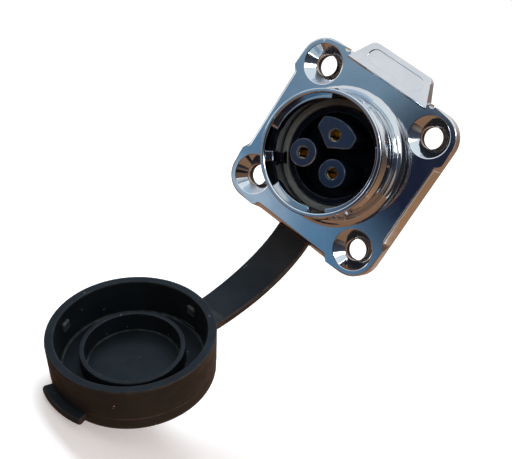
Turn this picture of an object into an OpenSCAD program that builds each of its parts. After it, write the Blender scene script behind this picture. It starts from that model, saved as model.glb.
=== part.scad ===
// Locking panel socket: a plated flange and barrel with three female contacts,
// a flat gasket behind the flange, and a rubber dust cap on a strap.
// Millimetres. The origin is the centre of the flange's back face, +Z runs up to the label tab
// and the barrel faces -Y. Most pieces are drawn along the barrel's axis and then turned to face -Y.

/* [Flange] */
// Width and height of the square flange
flange_side = 36.3; // [35.5:0.1:40]
// Thickness of the flange
flange_t = 3; // [2.6:0.1:4]
// Spacing of the mounting holes, centre to centre
hole_spacing = 26; // [25:0.1:27]
// Diameter of each mounting hole
hole_d = 4.3; // [3.4:0.1:4.5]
// Diameter of each countersink at the front face
csk_d = 8; // [7:0.1:8.4]
// How far each side slopes in at the front face, between the ears
side_bevel = 0.95; // [0.3:0.05:1.2]
// Height of the upright band left below the sloping sides
side_land = 0.9; // [0.4:0.1:1.5]
// Length of the straight sloping stretch of each side
side_run = 16.5; // [12:0.5:18]

/* [Label tab] */
// Width of the tab where it leaves the flange
tab_root_w = 19.2; // [16:0.1:20]
// Width of the tab at its outer edge
tab_tip_w = 14.8; // [12:0.1:16]
// How far the tab stands out past the flange's edge
tab_reach = 3.9; // [2:0.1:6]
// How far the tab runs in over the flange's front face
tab_inset = 1.45; // [1:0.05:2]
// Height of the tab's inner edge above the front face
tab_step = 0.3; // [0.1:0.05:0.6]
// Thickness of the tab at its outer edge
tab_tip_t = 1.9; // [1.2:0.1:2.6]
// Depth of the bare label recess
label_depth = 0.3; // [0.1:0.05:0.6]

/* [Barrel] */
// Diameter of the barrel's bore
bore_d = 22.3; // [22:0.1:22.6]
// Wall of the barrel
barrel_wall = 0.9; // [0.7:0.05:1.2]
// Height of the barrel above the flange's front face
barrel_h = 9.9; // [9.4:0.1:11]
// Radius of the fillet at the barrel's foot
foot_r = 1.8; // [1:0.1:2.2]
// How far the snap ridges stand out of the barrel
ridge_h = 0.35; // [0.2:0.05:0.4]
// Distance from the rim back to the square edge of the snap ridges
ridge_back = 3.1; // [2.6:0.1:3.6]
// Angle that each snap ridge covers
ridge_sweep = 113; // [90:1:116]
// Width of the locking ramps behind the ridges
ramp_w = 1.3; // [1:0.1:1.6]
// Angle that each locking ramp covers
ramp_sweep = 50; // [30:1:70]
// How far the ribs stand in from the bore
rib_h = 0.8; // [0.5:0.05:0.95]
// Width of the ribs along the bore
rib_w = 2; // [1.4:0.1:2.4]
// Distance from the rim down to the ribs
rib_drop = 1.9; // [1.4:0.1:2.4]
// Width of the polarising key
key_w = 1.85; // [1.4:0.05:2.4]
// Distance from the rim down to the key
key_drop = 2.2; // [1.8:0.1:3]

/* [Rear of the shell] */
// Length of the spigot that passes through the panel
spigot_len = 9; // [8.8:0.1:12]
// Wall of the spigot round the insulators
spigot_wall = 1.5; // [1.2:0.1:2]
// How far the step that centres the gasket stands out of the spigot
register_h = 0.3; // [0.2:0.05:0.5]
// Height of the seal's seat above the flange's front face
seat_h = 0.6; // [0.3:0.1:1]
// Width of that seat, from the bore in to the neck
seat_w = 1.55; // [1.3:0.05:1.8]
// Thickness of the retaining ring
clip_t = 1; // [0.8:0.1:1.2]

/* [Insulators and contacts] */
// How far the front insulator's flange stands out past the neck
insulator_step = 0.9; // [0.7:0.05:1.2]
// Depth of the front insulator behind the flange's back face
insulator_depth = 3; // [2.6:0.1:3.4]
// Thickness of the rear insulator
retainer_t = 3; // [2:0.1:4]
// Wall of the well round the towers
insulator_wall = 1.4; // [1.1:0.05:1.7]
// Gap between that wall and the shield-shaped tower
shield_gap = 1.13; // [0.9:0.01:1.4]
// Radius of the circle that the contacts stand on
contact_pcr = 4.12; // [3.9:0.02:4.4]
// Diameter of the two round towers
tower_d = 5.4; // [5:0.1:5.6]
// Distance from the barrel's rim down to the tower tops
tower_drop = 2.2; // [1.8:0.1:3]
// Diameter of the pin that a contact takes
pin_d = 2; // [1.6:0.1:2.1]
// Wall of a contact's springs
contact_wall = 0.3; // [0.2:0.05:0.4]
// Width of the slots between a contact's springs
slot_w = 0.3; // [0.2:0.05:0.35]
// Length of the solder cups behind the rear insulator
cup_len = 6.5; // [5:0.1:9]

/* [Gasket and strap] */
// Thickness of the gasket
gasket_t = 1.6; // [1:0.1:2]
// Width of the strap
strap_w = 7.6; // [6:0.1:8]
// Thickness of the strap
strap_t = 1.6; // [1.2:0.1:2]

/* [Dust cap] */
// Gap between the barrel and the closed cap's wall
cap_clear = 1.6; // [1.5:0.05:1.8]
// Wall of the cap
cap_wall = 1.65; // [1.4:0.05:1.9]
// Depth of the cap's inside
cap_depth = 7.6; // [7.2:0.1:8]
// Thickness of the cap's base
cap_base_t = 2.2; // [1.9:0.1:2.8]
// Gap between the ribs and the ring that plugs the barrel's bore
plug_ring_gap = 0.75; // [0.65:0.05:1.1]
// Wall of that ring
plug_ring_wall = 0.95; // [0.7:0.05:1.4]
// Distance from the cap's rim down to the ring
plug_ring_drop = 3.65; // [3.3:0.05:4]
// How far the bumps inside the cap stand in
bump_h = 0.7; // [0.4:0.05:0.8]
// How far the pull tab stands out
pull_reach = 1.9; // [1.2:0.1:3]

/* [Cap swing] */
// How far in front of the flange's back face the strap's flex line lies
flex_forward = 9.2; // [8.8:0.1:9.6]
// How far below the barrel's axis the flex line lies
flex_below = 28.3; // [27.8:0.1:28.8]
// Turn of the flex line about the vertical
flex_yaw = 9.1; // [7:0.1:11]
// Tilt of the flex line out of the level
flex_tilt = -1; // [-3:0.1:1]
// How far the cap has swung open from the barrel
open_angle = 124.8; // [110:0.1:130]

/* [Hidden] */
$fn = 96;

// Overlap that joins solids of one piece, and the slack between pieces
weld = 0.4;
slack = 0.05;

// Flange
flange_half = flange_side / 2;
ear_r = (flange_side - hole_spacing) / 2;
side_slope = atan(side_bevel / (flange_t - side_land));
side_turn = 2.4;
hole_places = [for (x = [-1, 1], y = [-1, 1]) [x, y] * hole_spacing / 2];

// Label tab
tab_y0 = flange_half - tab_inset;
tab_y1 = flange_half + tab_reach;
tab_top = flange_t + tab_step;
tab_slope = atan((tab_top - tab_tip_t) / (tab_y1 - tab_y0));
tab_corner_r = 1.5;
tab_notch_r = 0.55;
label_w = 12.6;
label_l = 2.9;

// Barrel, measured up from the flange's back face
bore_r = bore_d / 2;
barrel_r = bore_r + barrel_wall;
rim_z = flange_t + barrel_h;
rim_round = 0.25;
lip_h = 0.7;
groove_depth = 0.15;
groove_lap = 0.7;
groove_z = rim_z - ridge_back + groove_lap;
ridge_gap = 0.05;
ridge_land = 0.3;
ridge_starts = [78, -42, -162];
ramp_lag = 3;
ramp_back = 2.2;
ramp_z = rim_z - ridge_back - ramp_back;
rib_spans = [[115, 185], [247, 290], [308, 400]];
rib_round_ends = [184, 248];
key_angle = 216;
key_h = 0.9;

// Rear of the shell
seat_z = flange_t + seat_h;
neck_r = bore_r - seat_w;
neck_z = 1;
counterbore_r = neck_r + insulator_step;
spigot_r = counterbore_r + spigot_wall;
register_r = spigot_r + register_h;
clip_z = -insulator_depth - retainer_t - clip_t;
clip_groove_depth = 0.6;
clip_lip = 0.8;
clip_gap = 40;

// Insulators
tower_z = rim_z - tower_drop;
well_r = neck_r - insulator_wall;
well_floor_z = 0.6;
shield_r = well_r - shield_gap;
seal_t = 1.3;
seal_crown = 0.35;
seal_notch_wall = 0.4;
key_gap = 0.1;
wall_z = seat_z + seal_t;
insulator_back_z = -insulator_depth;
retainer_back_z = clip_z + clip_t;
oring_section = 1;
oring_back = 1.6;
oring_z = oring_back - insulator_depth;
contact_angles = [90, 210, 330];
spring_gap = 0.08;
tower_bore_r = pin_d / 2 + contact_wall + spring_gap;
tower_chamfer = 0.3;

// Contacts
spring_r = pin_d / 2 + contact_wall;
contact_drop = 0.7;
slot_len = 4.5;
bore_len = 7;
shoulder_h = 0.75;
shoulder_r = spring_r + shoulder_h;
shoulder_t = 1.1;
shank_r = 1.5;
cup_bore_r = 1.1;
cup_bore_len = 4.5;

// Gasket and strap
gasket_inset = 0.5;
gasket_half = flange_half - gasket_inset;
root_reach = 0.5;
root_z = -(flange_half + root_reach);
strap_edge = 0.35;
strap_rings = 26;
strap_root_pull = 10.5;
strap_cap_pull = 4;

// Dust cap, measured down from its rim
cap_bore_r = barrel_r + cap_clear;
cap_r = cap_bore_r + cap_wall;
cap_h = cap_depth + cap_base_t;
cap_draft = 0.2;
cap_waist_r = cap_r - cap_draft;
cap_gap = 0.4;
cap_shelf_step = 0.6;
cap_shelf = cap_depth - cap_shelf_step;
cap_rim_z = rim_z + cap_gap - cap_shelf;
cap_seam = 6.65;
seam_w = 0.1;
seam_depth = 0.2;
cap_base_round = 1.3;
cap_floor_round = 0.4;
cap_bore_taper = 0.5;
cap_lip_round = 0.3;
plug_ring_r = bore_r - rib_h - plug_ring_gap;
plug_ring_round = 0.25;
bump_w = 1.9;
bump_drop = 2.9;
bump_angles = [33, 153, 273];
pull_angle = 40;
pull_t = 1.4;
pull_lift = 1.5;
pull_drop = cap_h - pull_lift - pull_t;
stub_reach = 1.2;
strap_lift = 2.6;
strap_drop = cap_h - strap_lift;

// The line that the cap swings about
flex_point = [0, -flex_forward, -flex_below];
flex_axis = [-cos(flex_tilt) * cos(flex_yaw), cos(flex_tilt) * sin(flex_yaw), sin(flex_tilt)];

// Points of a circular arc in a profile
function arc(centre, r, from, to, steps = 8) = [
    for (i = [0:steps])
        let (a = from + (to - from) * i / steps)
        centre + r * [cos(a), sin(a)]
];

// Smooth step from 0 to 1
function ease(t) = t * t * (3 - 2 * t);

function unit(v) = v / norm(v);

// A vector turned about an axis
function turned(v, axis, angle) =
    v * cos(angle) + cross(axis, v) * sin(angle) + axis * (axis * v) * (1 - cos(angle));

// A point of the closed cap, taken to where the open cap holds it
function opened(p) = flex_point + turned(p - flex_point, flex_axis, -open_angle);

// A point along the strap's centre line, from the gasket to the cap
function bezier(p, t) =
    pow(1 - t, 3) * p[0] + 3 * pow(1 - t, 2) * t * p[1] + 3 * (1 - t) * t * t * p[2] + pow(t, 3) * p[3];

function bezier_tangent(p, t) =
    unit(pow(1 - t, 2) * (p[1] - p[0]) + 2 * (1 - t) * t * (p[2] - p[1]) + t * t * (p[3] - p[2]));

// Turns what is drawn along +Z to face -Y, with +Y up
module facing() {
    rotate([90, 0, 0]) children();
}

// Puts the closed cap where it hangs open
module swung_open() {
    translate(flex_point) rotate(a = -open_angle, v = flex_axis) translate(-flex_point) facing() children();
}

// A square with its corners rounded about the mounting holes
module rounded_square(half, corner_r) {
    square([2 * half, 2 * (half - corner_r)], center = true);
    square([2 * (half - corner_r), 2 * half], center = true);
    for (x = [-1, 1], y = [-1, 1]) translate([x, y] * (half - corner_r)) circle(r = corner_r);
}

// A ring sector of rectangular section
module ring_sector(r0, r1, z0, z1, from, to) {
    rotate(from) rotate_extrude(angle = to - from) translate([r0, z0]) square([r1 - r0, z1 - z0]);
}

// A round end for a ring sector: a peg that lies along the radius, trimmed to the ring
module ring_sector_end(r0, r1, z0, z1, angle) {
    peg_d = (z1 - z0) * 0.97;
    intersection() {
        difference() {
            translate([0, 0, z0 - 1]) cylinder(r = r1, h = z1 - z0 + 2);
            translate([0, 0, z0 - 2]) cylinder(r = r0, h = z1 - z0 + 4);
        }
        rotate(angle) translate([0, 0, (z0 + z1) / 2]) rotate([0, 90, 0]) cylinder(d = peg_d, h = r1 + 1);
    }
}

// The sloping cut along one side of the flange, with eased ends beside the ears
module side_cut() {
    run = side_run / 2;
    depth = side_bevel + 0.2;
    half_line = [for (i = [0:8]) [depth * ease(i / 8), run + side_turn * i / 8]];
    outline = concat(half_line, [for (i = [8:-1:0]) [half_line[i].x, -half_line[i].y]]);
    translate([flange_half, 0, side_land]) rotate([0, -side_slope, 0])
        linear_extrude(2 * flange_t) polygon(outline);
}

// The tab's plan: a trapezoid with its outer corners rounded
module tab_plan() {
    root = tab_root_w / 2;
    tip = tab_tip_w / 2;
    lean = atan((root - tip) / (tab_y1 - tab_y0));
    polygon(concat(
        [[-root, tab_y0], [root, tab_y0]],
        arc([tip - tab_corner_r, tab_y1 - tab_corner_r], tab_corner_r, lean, 90),
        arc([-tip + tab_corner_r, tab_y1 - tab_corner_r], tab_corner_r, 90, 180 - lean)
    ));
}

// The tab: flat behind, sloping back in front, with a bare recess for a label
module label_tab() {
    side = [[tab_y0, 0], [tab_y1, 0], [tab_y1, tab_tip_t], [tab_y0 + tab_step, tab_top], [tab_y0, flange_t]];
    difference() {
        intersection() {
            linear_extrude(2 * flange_t) tab_plan();
            rotate([90, 0, 90]) linear_extrude(2 * tab_root_w, center = true) polygon(side);
        }
        translate([0, (tab_y0 + tab_y1) / 2 + tab_step, (tab_top + tab_tip_t) / 2]) rotate([-tab_slope, 0, 0])
            translate([0, 0, -label_depth]) linear_extrude(1) {
                square([label_w - label_l, label_l], center = true);
                for (x = [-1, 1]) translate([x * (label_w - label_l) / 2, 0]) circle(d = label_l);
            }
    }
}

// The flange with its ears, sloping sides and label tab
module flange_plate() {
    difference() {
        linear_extrude(flange_t) rounded_square(flange_half, ear_r);
        for (a = [0:90:270]) rotate(a) side_cut();
        for (x = [-1, 1]) translate([x * (tab_root_w / 2 + tab_notch_r), flange_half, -1])
            cylinder(r = tab_notch_r, h = flange_t + 2);
    }
    label_tab();
}

// One mounting hole with its countersink
module mounting_hole() {
    csk_depth = (csk_d - hole_d) / 2;
    translate([0, 0, -1]) cylinder(d = hole_d, h = flange_t + 2);
    translate([0, 0, flange_t - csk_depth]) cylinder(d1 = hole_d, d2 = csk_d, h = csk_depth);
    translate([0, 0, flange_t]) cylinder(d = csk_d, h = 1);
}

// The barrel's outside turned in one profile, from the foot's fillet to the rim
module barrel_outside() {
    neck = barrel_r - groove_depth;
    rotate_extrude() polygon(concat(
        [[0, flange_t - weld], [barrel_r + foot_r, flange_t - weld]],
        arc([barrel_r + foot_r, flange_t + foot_r], foot_r, 270, 180),
        [[barrel_r, groove_z], [neck, groove_z], [neck, rim_z - lip_h], [barrel_r, rim_z - lip_h]],
        arc([barrel_r - rim_round, rim_z - rim_round], rim_round, 0, 90, 4),
        [[0, rim_z]]
    ));
}

// One snap ridge: a lead-in cone in front and a square edge behind
module snap_ridge() {
    inner = barrel_r - groove_depth - weld / 2;
    rotate(-ridge_sweep) rotate_extrude(angle = ridge_sweep) polygon([
        [inner, rim_z - lip_h - ridge_gap], [barrel_r + ridge_h, rim_z - ridge_back + ridge_land],
        [barrel_r + ridge_h, rim_z - ridge_back], [inner, rim_z - ridge_back]
    ]);
}

// One locking ramp behind a ridge, with a rounded tip
module locking_ramp() {
    outer = barrel_r + ridge_h;
    inner = barrel_r - weld / 2;
    ring_sector(inner, outer, ramp_z - ramp_w / 2, ramp_z + ramp_w / 2, -ramp_lag - ramp_sweep, -ramp_lag);
    ring_sector_end(inner, outer, ramp_z - ramp_w / 2, ramp_z + ramp_w / 2, -ramp_lag - ramp_sweep);
}

// The ribs and the polarising key inside the bore
module bore_ribs() {
    top = rim_z - rib_drop;
    for (span = rib_spans) {
        ring_sector(bore_r - rib_h, bore_r + weld, top - rib_w, top, span[0], span[1]);
    }
    for (a = rib_round_ends) ring_sector_end(bore_r - rib_h + 0.03, bore_r + weld / 2, top - rib_w, top, a);
    rotate(key_angle) translate([bore_r - key_h, -key_w / 2, seat_z - weld])
        cube([key_h + weld, key_w, rim_z - key_drop - seat_z + weld]);
}

// The plated shell: flange, barrel and stepped spigot cast in one
module flange_shell() {
    color("lightsteelblue") facing() {
        difference() {
            union() {
                flange_plate();
                barrel_outside();
                for (a = ridge_starts) rotate(a) {
                    snap_ridge();
                    locking_ramp();
                }
                translate([0, 0, -spigot_len]) cylinder(r = spigot_r, h = spigot_len + weld);
                translate([0, 0, -gasket_t]) cylinder(r = register_r, h = gasket_t + weld);
            }
            for (p = hole_places) translate(p) mounting_hole();
            translate([0, 0, seat_z]) cylinder(r = bore_r, h = barrel_h + 1);
            translate([0, 0, rim_z - rim_round])
                cylinder(r1 = bore_r, r2 = bore_r + rim_round, h = rim_round);
            translate([0, 0, -spigot_len - 1]) cylinder(r = neck_r, h = spigot_len + seat_z + 2);
            translate([0, 0, -spigot_len - 1]) cylinder(r = counterbore_r, h = spigot_len + 1 + neck_z);
            translate([0, 0, clip_z - slack])
                cylinder(r = counterbore_r + clip_groove_depth, h = clip_t + 2 * slack);
        }
        bore_ribs();
    }
}

// Outline of the shield-shaped tower of the earth contact
module shield_outline() {
    side_r = 1;
    apex_r = 0.35;
    half = tower_d * 0.74 - side_r;
    reach = tower_d * 0.46;
    side_y = contact_pcr - (reach - side_r - half / 2) / cos(30);
    top_y = sqrt(pow(shield_r - side_r, 2) - half * half);
    spread = atan(half / top_y);
    hull() {
        translate([0, contact_pcr - (reach - apex_r) / cos(30)]) circle(r = apex_r, $fn = 32);
        for (x = [-1, 1], y = [side_y, top_y]) translate([x * half, y]) circle(r = side_r, $fn = 32);
        polygon(arc([0, 0], shield_r, 90 - spread, 90 + spread, 12));
    }
}

// The moulded front insulator: a flange, a well and three towers bored for the contacts
module front_insulator() {
    flange_r = counterbore_r - slack;
    color("darkslategray") facing() difference() {
        union() {
            difference() {
                union() {
                    translate([0, 0, insulator_back_z]) cylinder(r = flange_r, h = neck_z - insulator_back_z);
                    cylinder(r = neck_r - slack, h = wall_z);
                }
                translate([0, 0, well_floor_z]) cylinder(r = well_r, h = wall_z);
            }
            for (a = [contact_angles[1], contact_angles[2]]) rotate(a) translate([contact_pcr, 0, 0])
                cylinder(d = tower_d, h = tower_z);
            linear_extrude(tower_z) shield_outline();
        }
        for (a = contact_angles) rotate(a) translate([contact_pcr, 0, 0]) {
            translate([0, 0, insulator_back_z - 1])
                cylinder(r = tower_bore_r, h = tower_z - insulator_back_z + 2);
            translate([0, 0, tower_z - tower_chamfer])
                cylinder(r1 = tower_bore_r, r2 = tower_bore_r + tower_chamfer, h = tower_chamfer);
            translate([0, 0, insulator_back_z - 1]) cylinder(r = shoulder_r + slack, h = shoulder_t + 1);
        }
        translate([0, 0, oring_z - oring_section / 2]) difference() {
            cylinder(r = flange_r + 1, h = oring_section);
            translate([0, 0, -1]) cylinder(r = counterbore_r - oring_section, h = oring_section + 2);
        }
    }
}

// The rear insulator that traps the contacts' shoulders
module rear_insulator() {
    color("dimgray") facing() difference() {
        translate([0, 0, retainer_back_z])
            cylinder(r = counterbore_r - slack, h = insulator_back_z - retainer_back_z);
        for (a = contact_angles) rotate(a) translate([contact_pcr, 0, retainer_back_z - 1])
            cylinder(r = shank_r + slack, h = insulator_back_z - retainer_back_z + 2);
    }
}

// The spring ring that holds the insulators in the spigot
module retaining_ring() {
    outer = counterbore_r + clip_groove_depth - slack;
    color("silver") facing() rotate(270 + clip_gap / 2)
        rotate_extrude(angle = 360 - clip_gap) translate([counterbore_r - clip_lip, clip_z])
            square([outer - counterbore_r + clip_lip, clip_t]);
}

// The round seal between the front insulator and the shell
module insulator_seal() {
    section_r = oring_section / 2 - slack / 2;
    color("black") facing() translate([0, 0, oring_z]) rotate_extrude()
        translate([counterbore_r - oring_section / 2, 0]) circle(r = section_r);
}

// The flat seal at the bottom of the bore, notched for the key
module interface_seal() {
    inner = neck_r + slack;
    outer = bore_r - slack;
    color("slategray") facing() difference() {
        rotate_extrude() polygon([
            [inner, seat_z], [outer, seat_z], [outer, wall_z - seal_crown], [outer - seal_crown, wall_z],
            [inner + seal_crown, wall_z], [inner, wall_z - seal_crown]
        ]);
        rotate(key_angle) translate([inner + seal_notch_wall, -key_w / 2 - key_gap, seat_z - 1])
            cube([bore_r, key_w + 2 * key_gap, seal_t + 2]);
    }
}

// One female contact: slotted springs in front, a shoulder, and a solder cup behind
module contact(angle) {
    top = tower_z - contact_drop;
    cup_z = retainer_back_z - cup_len;
    color("gold") facing() rotate(angle) translate([contact_pcr, 0, 0]) difference() {
        union() {
            translate([0, 0, insulator_back_z]) cylinder(r = spring_r, h = top - insulator_back_z);
            translate([0, 0, insulator_back_z]) cylinder(r = shoulder_r, h = shoulder_t);
            translate([0, 0, cup_z]) cylinder(r = shank_r, h = insulator_back_z - cup_z);
        }
        translate([0, 0, top - bore_len]) cylinder(d = pin_d, h = bore_len + 1);
        for (a = [45, 135]) rotate(a) translate([-pin_d, -slot_w / 2, top - slot_len])
            cube([2 * pin_d, slot_w, slot_len + 1]);
        translate([0, 0, cup_z - 1]) cylinder(r = cup_bore_r, h = cup_bore_len + 1);
        translate([0, -shank_r - 1, cup_z - 1]) cube([shank_r + 1, 2 * shank_r + 2, cup_bore_len * 0.7 + 1]);
    }
}

module contact_earth() {
    contact(contact_angles[0]);
}

module contact_line() {
    contact(contact_angles[1]);
}

module contact_neutral() {
    contact(contact_angles[2]);
}

// The flat gasket behind the flange, with the strap's root at its lower edge
module flange_gasket() {
    color("black") facing() translate([0, 0, -gasket_t]) difference() {
        linear_extrude(gasket_t) {
            rounded_square(gasket_half, ear_r - 0.5);
            translate([-strap_w / 2, root_z]) square([strap_w, -root_z]);
        }
        translate([0, 0, -1]) cylinder(r = register_r + slack, h = gasket_t + 2);
        for (p = hole_places) translate([p.x, p.y, -1]) cylinder(d = hole_d, h = gasket_t + 2);
    }
}

// The strap, swept along its curve from the gasket's root to the cap's stub
module tether_strap() {
    cap_out = turned([0, 0, -1], flex_axis, -open_angle);
    cap_side = turned([1, 0, 0], flex_axis, -open_angle);
    start = [0, gasket_t / 2, root_z];
    finish = opened([0, -cap_rim_z - strap_drop, -cap_r - stub_reach]);
    line = [start, start + [0, 0, -strap_root_pull], finish + cap_out * strap_cap_pull, finish];
    w = strap_w / 2;
    t = strap_t / 2;
    e = strap_edge;
    section = [
        [w, t - e], [w - e, t], [e - w, t], [-w, t - e], [-w, e - t], [e - w, -t], [w - e, -t], [w, e - t]
    ];
    sides = len(section);
    rings = [
        for (i = [0:strap_rings])
            let (
                s = i / strap_rings,
                along = bezier_tangent(line, s),
                lean = (1 - ease(s)) * [1, 0, 0] + ease(s) * cap_side,
                across = unit(lean - along * (along * lean)),
                up = cross(across, along)
            )
            [for (q = section) bezier(line, s) + q.x * across + q.y * up]
    ];
    points = [for (ring = rings) each ring];
    faces = concat(
        [[for (k = [sides - 1:-1:0]) k]],
        [
            for (i = [0:strap_rings - 1], k = [0:sides - 1])
                let (a = i * sides + k, b = i * sides + (k + 1) % sides)
                [a, b, b + sides, a + sides]
        ],
        [[for (k = [0:sides - 1]) strap_rings * sides + k]]
    );
    color("black") polyhedron(points, faces, convexity = 4);
}

// The cap's turned body, with z running down from its rim to its base
module cap_body() {
    ring_inner = plug_ring_r - plug_ring_wall;
    floor_r = cap_bore_r - cap_bore_taper;
    base_r = cap_waist_r - seam_depth / 2 - cap_base_round;
    rotate_extrude() polygon(concat(
        [[0, cap_depth]],
        [[ring_inner, cap_depth], [ring_inner, plug_ring_drop + plug_ring_round]],
        arc([ring_inner + plug_ring_round, plug_ring_drop + plug_ring_round], plug_ring_round, 180, 270, 3),
        arc([plug_ring_r - plug_ring_round, plug_ring_drop + plug_ring_round], plug_ring_round, 270, 360, 3),
        [[plug_ring_r, cap_shelf]],
        arc([floor_r - cap_floor_round, cap_shelf - cap_floor_round], cap_floor_round, 90, 0, 4),
        arc([cap_bore_r + cap_lip_round, cap_lip_round], cap_lip_round, 180, 270, 3),
        arc([cap_r - cap_lip_round, cap_lip_round], cap_lip_round, 270, 360, 3),
        [[cap_waist_r, cap_seam - seam_w], [cap_waist_r - seam_depth, cap_seam]],
        [[cap_waist_r - seam_depth / 2, cap_seam + seam_w]],
        arc([base_r, cap_h - cap_base_round], cap_base_round, 0, 90, 8),
        [[0, cap_h]]
    ));
}

// The rubber cap with its plug ring, bumps, pull tab and the strap's stub
module dust_cap() {
    outer = cap_waist_r + pull_reach;
    inner = cap_waist_r - cap_base_round;
    color("black") swung_open() translate([0, 0, cap_rim_z]) {
        cap_body();
        for (a = bump_angles) rotate(a) translate([cap_bore_r - bump_h, -bump_w / 2, bump_drop - bump_w / 2])
            cube([bump_h + weld, bump_w, bump_w]);
        ring_sector(inner, outer, pull_drop, pull_drop + pull_t, 90 - pull_angle / 2, 90 + pull_angle / 2);
        translate([-strap_w / 2, -cap_r - stub_reach, strap_drop - strap_t / 2])
            cube([strap_w, stub_reach + cap_base_round + 1, strap_t]);
    }
}

flange_shell();
front_insulator();
rear_insulator();
retaining_ring();
insulator_seal();
interface_seal();
contact_earth();
contact_line();
contact_neutral();
flange_gasket();
tether_strap();
dust_cap();
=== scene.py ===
"""Looks of a locking panel socket with its rubber dust cap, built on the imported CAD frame.

Every piece is made in metres in the frame's own axes: the barrel faces -Y and the label tab points
to +Z. Sizes in the classes are millimetres, as in the part's source, and angles are degrees.
"""

from __future__ import annotations

import logging
import math
from collections.abc import Callable
from dataclasses import dataclass, field
from enum import Enum
from functools import cache

import bmesh
import bpy
from mathutils import Matrix, Vector
from mathutils.geometry import intersect_point_line

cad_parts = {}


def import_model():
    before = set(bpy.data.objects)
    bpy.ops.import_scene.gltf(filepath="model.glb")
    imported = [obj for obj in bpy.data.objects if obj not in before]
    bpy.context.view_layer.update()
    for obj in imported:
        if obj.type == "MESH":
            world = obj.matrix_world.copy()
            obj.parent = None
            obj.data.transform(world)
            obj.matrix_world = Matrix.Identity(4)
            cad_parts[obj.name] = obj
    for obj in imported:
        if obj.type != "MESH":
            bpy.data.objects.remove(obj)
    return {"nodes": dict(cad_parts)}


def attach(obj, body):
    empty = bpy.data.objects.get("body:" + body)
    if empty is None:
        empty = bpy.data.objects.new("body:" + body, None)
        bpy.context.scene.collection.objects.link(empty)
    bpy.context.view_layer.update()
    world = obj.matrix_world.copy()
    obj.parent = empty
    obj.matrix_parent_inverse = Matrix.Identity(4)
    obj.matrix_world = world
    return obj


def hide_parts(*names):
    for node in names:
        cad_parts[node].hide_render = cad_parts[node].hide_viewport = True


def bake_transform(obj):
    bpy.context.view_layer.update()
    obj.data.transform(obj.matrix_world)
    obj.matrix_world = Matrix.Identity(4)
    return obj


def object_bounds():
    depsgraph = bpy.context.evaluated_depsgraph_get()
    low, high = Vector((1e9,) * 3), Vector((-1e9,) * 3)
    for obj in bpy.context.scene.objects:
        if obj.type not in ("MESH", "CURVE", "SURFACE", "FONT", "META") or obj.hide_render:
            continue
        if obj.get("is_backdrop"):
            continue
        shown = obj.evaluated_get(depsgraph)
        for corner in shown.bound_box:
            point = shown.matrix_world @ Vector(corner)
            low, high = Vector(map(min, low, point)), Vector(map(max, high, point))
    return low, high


LOG = logging.getLogger("panel_socket")
MM = 0.001
TINY = 1e-6
PHOTO_WIDTH = 512
SENSOR_WIDTH = 36.0
WHITE = (1.0, 1.0, 1.0)
SQUARE = ((-1.0, -1.0), (1.0, -1.0), (1.0, 1.0), (-1.0, 1.0))
# Turns what faces +Z to face -Y, as the barrel does.
FACING = Matrix.Rotation(math.radians(90.0), 4, "X")

EDGE_ATTRIBUTE = "edge"
# On the insulator the recess attribute carries painted shade behind the tower tops; on the plating it marks
# the hole walls' thinner plating.
RECESS_ATTRIBUTE = "recess"
NORMAL_ATTRIBUTE = "strap_normal"
CARD_MAP = "card"
GEOMETRY = "Geometry"
# Numbers of the Mix node's factor, two colours and result, whose names aren't unique.
MIX_INPUTS = (0, 6, 7)
MIX_RESULT = 2

# Reaches and widths in metres.
WELD_REACH = 0.002 * MM
SLIVER_REACH = 0.0005 * MM
NARROW = 0.22 * MM
# Turns between faces in radians.
MERGE_TURN = math.radians(0.6)
EDGE_TURN = math.radians(8.0)
CORNER_TURN = math.radians(32.0)
BEVEL_TURN = math.radians(50.0)
FOLD_TURN = math.radians(150.0)
# Cosines of turns and of the angle to Y, and the sine of a turned face's slip.
CREASE = math.cos(math.radians(18.0))
SLIM_CREASE = math.cos(math.radians(50.0))
FLAT_FACING = 0.995
WALL_FACING = 0.35
ROUND_SLIP = 0.09
# Counts, and the angle from which a rubber piece's edges stay sharp.
FOLD_TRIES = 6
RIM_STEPS = 3
RUBBER_SHARP = 48.0

# A Spot is a point of a flat outline, and Feeds are what a node's inputs get, by name or number.
Colour = tuple[float, float, float]
Point = tuple[float, float, float]
Spot = tuple[float, float]
Feeds = dict[str | int, object]
Material = bpy.types.Material
Node = bpy.types.Node
Shape = bmesh.types.BMesh
Socket = bpy.types.NodeSocket
Tree = bpy.types.NodeTree


class Body(str, Enum):
    """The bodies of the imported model."""

    SOCKET = "socket"
    CAP = "cap"


class Slot(str, Enum):
    """The record's material slots."""

    PLATED = "plated_shell"
    INSULATOR = "insulator"
    REAR_INSULATOR = "rear_insulator"
    SPRING_STEEL = "spring_steel"
    SEAL = "seal_rubber"
    INTERFACE = "interface_rubber"
    CONTACT = "contact_gold"
    CAP_RUBBER = "cap_rubber"


class Part(str, Enum):
    """The CAD nodes that the pieces stand for."""

    SHELL = "flange_shell"
    FRONT_INSULATOR = "front_insulator"
    REAR_INSULATOR = "rear_insulator"
    RING = "retaining_ring"
    INSULATOR_SEAL = "insulator_seal"
    INTERFACE_SEAL = "interface_seal"
    EARTH = "contact_earth"
    LINE = "contact_line"
    NEUTRAL = "contact_neutral"
    GASKET = "flange_gasket"
    STRAP = "tether_strap"
    CAP = "dust_cap"


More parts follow.
